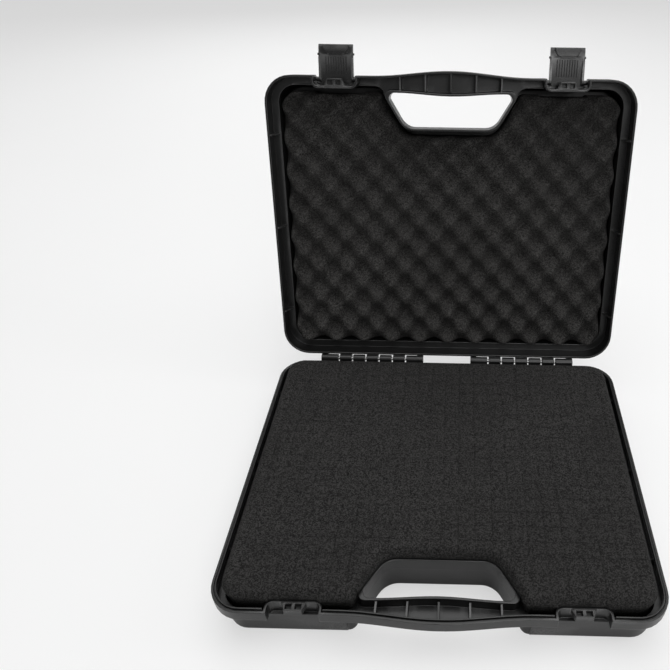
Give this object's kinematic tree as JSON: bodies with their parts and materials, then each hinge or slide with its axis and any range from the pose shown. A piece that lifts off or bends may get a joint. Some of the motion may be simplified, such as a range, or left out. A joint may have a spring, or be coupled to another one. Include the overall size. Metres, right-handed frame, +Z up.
{
  "type": "carry case",
  "caption": "Moulded carry case standing open: hinged lid with egg-crate foam, base with diced foam pad, hand grip split between both halves, flip latches.",
  "frame": {"origin": "centre of the base's flat underside", "axes": "+X along the hinge, to the right as seen from the grip; -Y towards the grip and latches, +Y towards the hinge; +Z up"},
  "size_m": [0.34, 0.4047, 0.3294],
  "materials": {
    "shell": "fine moulded grain",
    "latch": "fine moulded grain, satin",
    "pin": "drawn wire",
    "base_foam": "open-cell foam, matt",
    "lid_foam": "convoluted open-cell foam, matt",
    "label": "satin film"
  },
  "bodies": {
    "base": {"base_shell": "shell", "hinge_pin_left": "pin", "hinge_pin_right": "pin", "base_foam_pad": "base_foam", "base_foam_diced": "base_foam"},
    "lid": {"lid_shell": "shell", "lid_foam": "lid_foam", "label_plate": "label"},
    "latch_left": {"latch_left": "latch"},
    "latch_right": {"latch_right": "latch"}
  },
  "joints": [
    {"name": "lid_hinge", "type": "hinge", "parent": "base", "child": "lid", "pos_m": [0, 0.142, 0.04], "axis": [1, 0, 0], "range_deg": [0, 106]},
    {"name": "latch_left_hinge", "type": "hinge", "parent": "lid", "child": "latch_left", "pos_m": [-0.1055, 0.23225, 0.30104], "axis": [1, 0, 0], "range_deg": [0, 90]},
    {"name": "latch_right_hinge", "type": "hinge", "parent": "lid", "child": "latch_right", "pos_m": [0.1055, 0.23225, 0.30104], "axis": [1, 0, 0], "range_deg": [0, 90]}
  ]
}
